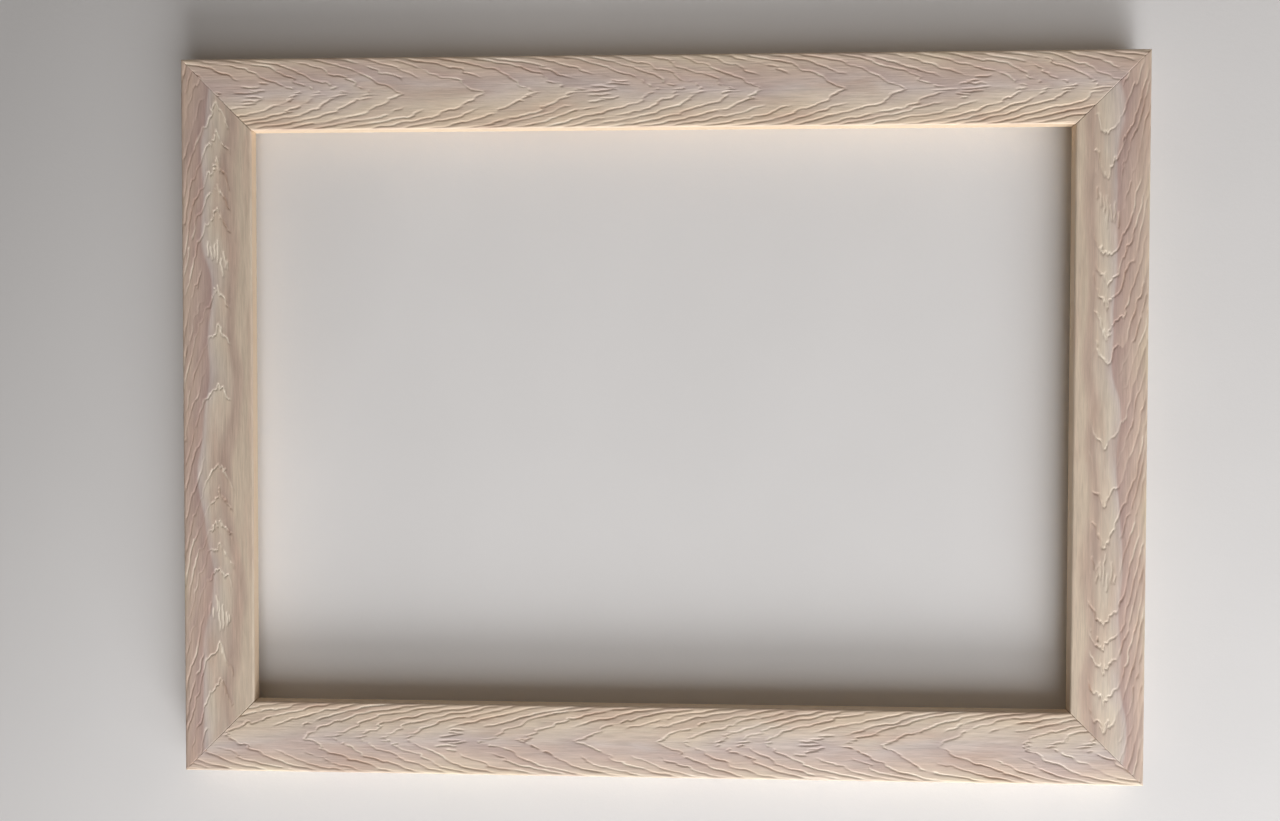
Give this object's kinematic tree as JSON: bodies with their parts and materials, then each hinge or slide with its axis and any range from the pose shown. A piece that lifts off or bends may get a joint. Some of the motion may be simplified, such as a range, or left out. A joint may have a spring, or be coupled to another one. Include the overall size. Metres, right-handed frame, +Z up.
{
  "type": "picture frame",
  "caption": "Open wall-hung picture frame: four mitred rebated rails with a wide grained face, turn buttons that hold a picture in from behind, and D-ring hangers.",
  "frame": {"origin": "on the wall plane, halfway between the two points where the D-rings sit on their hooks", "axes": "+X to the right seen from the front, +Z up, front faces -Y"},
  "size_m": [0.494, 0.0185, 0.371],
  "materials": {
    "moulding": "embossed grain, washed cream, pink and grey, matt",
    "nail_steel": "bare sheet",
    "button_brass": "brass plated, satin",
    "screw_steel": "zinc plated",
    "hanger_steel": "nickel plated, satin",
    "bumper_rubber": "matt"
  },
  "bodies": {
    "frame": {"top_rail": "moulding", "right_rail": "moulding", "bottom_rail": "moulding", "left_rail": "moulding", "corner_nail_top_left_outer": "nail_steel", "corner_nail_top_left_inner": "nail_steel", "corner_nail_top_right_outer": "nail_steel", "corner_nail_top_right_inner": "nail_steel", "corner_nail_bottom_right_outer": "nail_steel", "corner_nail_bottom_right_inner": "nail_steel", "corner_nail_bottom_left_outer": "nail_steel", "corner_nail_bottom_left_inner": "nail_steel", "button_screw_top_left": "screw_steel", "button_screw_top_right": "screw_steel", "button_screw_right": "screw_steel", "button_screw_bottom_right": "screw_steel", "button_screw_bottom_left": "screw_steel", "button_screw_left": "screw_steel", "hanger_strap_left": "hanger_steel", "hanger_strap_right": "hanger_steel", "hanger_screw_left": "screw_steel", "hanger_screw_right": "screw_steel", "bumper_top_left": "bumper_rubber", "bumper_top_right": "bumper_rubber", "bumper_bottom_right": "bumper_rubber", "bumper_bottom_left": "bumper_rubber"},
    "turn_button_top_left": {"turn_button_top_left": "button_brass"},
    "turn_button_top_right": {"turn_button_top_right": "button_brass"},
    "turn_button_right": {"turn_button_right": "button_brass"},
    "turn_button_bottom_right": {"turn_button_bottom_right": "button_brass"},
    "turn_button_bottom_left": {"turn_button_bottom_left": "button_brass"},
    "turn_button_left": {"turn_button_left": "button_brass"},
    "hanger_ring_left": {"hanger_ring_left": "hanger_steel"},
    "hanger_ring_right": {"hanger_ring_right": "hanger_steel"}
  },
  "joints": [
    {"name": "turn_top_left", "type": "hinge", "parent": "frame", "child": "turn_button_top_left", "pos_m": [-0.105, -0.0028, 0.0418], "axis": [0, 1, 0], "continuous": true},
    {"name": "turn_top_right", "type": "hinge", "parent": "frame", "child": "turn_button_top_right", "pos_m": [0.105, -0.0028, 0.0418], "axis": [0, 1, 0], "continuous": true},
    {"name": "turn_right", "type": "hinge", "parent": "frame", "child": "turn_button_right", "pos_m": [0.224, -0.0028, -0.1207], "axis": [0, 1, 0], "continuous": true},
    {"name": "turn_bottom_right", "type": "hinge", "parent": "frame", "child": "turn_button_bottom_right", "pos_m": [0.105, -0.0028, -0.2832], "axis": [0, 1, 0], "continuous": true},
    {"name": "turn_bottom_left", "type": "hinge", "parent": "frame", "child": "turn_button_bottom_left", "pos_m": [-0.105, -0.0028, -0.2832], "axis": [0, 1, 0], "continuous": true},
    {"name": "turn_left", "type": "hinge", "parent": "frame", "child": "turn_button_left", "pos_m": [-0.224, -0.0028, -0.1207], "axis": [0, 1, 0], "continuous": true},
    {"name": "ring_left", "type": "hinge", "parent": "frame", "child": "hanger_ring_left", "pos_m": [-0.232, -0.0017, -0.0102], "axis": [-1, 0, 0], "range_deg": [0, 160]},
    {"name": "ring_right", "type": "hinge", "parent": "frame", "child": "hanger_ring_right", "pos_m": [0.232, -0.0017, -0.0102], "axis": [-1, 0, 0], "range_deg": [0, 160]}
  ]
}
